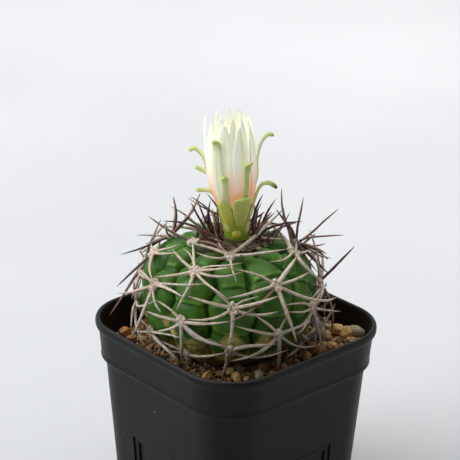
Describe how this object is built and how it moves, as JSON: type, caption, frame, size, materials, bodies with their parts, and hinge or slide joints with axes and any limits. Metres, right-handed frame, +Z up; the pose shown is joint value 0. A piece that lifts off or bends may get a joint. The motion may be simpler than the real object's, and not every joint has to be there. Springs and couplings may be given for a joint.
{
  "type": "potted round cactus",
  "caption": "Globular ribbed cactus with spine clusters and a half-open white flower, rooted in gritty soil in a square black nursery pot.",
  "frame": {"origin": "centre of the pot's flat underside, on the surface it stands on", "axes": "+Z up; X and Y square to the pot's four sides; the flower leans slightly in the X-Y quadrant (-,-)"},
  "size_m": [0.09, 0.09, 0.1644],
  "materials": {
    "pot": "satin black moulded plastic",
    "soil": "gritty tan and brown grains",
    "stem": "satin waxy green skin",
    "spine": "dry pale beige horn",
    "crown_spine": "dark red-brown horn",
    "flower_green": "smooth yellow-green",
    "scale": "smooth pale yellow-green",
    "petal": "thin white tissue flushed pink",
    "stamen": "fine cream filaments",
    "bud": "dull grey-green",
    "leaf": "thin green leaf"
  },
  "bodies": {
    "root": {"pot": "pot", "soil": "soil", "stem": "stem", "crown_spines": "crown_spine", "flower_tube": "flower_green", "stamens": "stamen", "bud": "bud", "seedling": "leaf", "spines_01": "spine", "spines_02": "spine", "spines_03": "spine", "spines_04": "spine", "spines_05": "spine", "spines_06": "spine", "spines_07": "spine", "spines_08": "spine", "spines_09": "spine", "spines_10": "spine", "spines_11": "spine", "spines_12": "spine", "spines_13": "spine", "spines_14": "spine", "spines_15": "spine", "spines_16": "spine", "spines_17": "spine", "spines_18": "spine", "spines_19": "spine", "spines_20": "spine", "spines_21": "spine", "spines_22": "spine", "spines_23": "spine", "spines_24": "spine", "spines_25": "spine", "spines_26": "spine", "spines_27": "spine", "spines_28": "spine", "spines_29": "spine", "spines_30": "spine", "scale_1": "scale", "scale_2": "scale", "scale_3": "scale", "scale_4": "scale", "scale_5": "scale", "scale_6": "scale", "scale_7": "scale", "scale_8": "scale", "scale_9": "scale", "scale_10": "scale", "scale_11": "scale", "scale_12": "scale", "petal_1": "petal", "petal_2": "petal", "petal_3": "petal", "petal_4": "petal", "petal_5": "petal", "petal_6": "petal", "petal_7": "petal", "petal_8": "petal", "petal_9": "petal", "petal_10": "petal"}
  },
  "joints": []
}
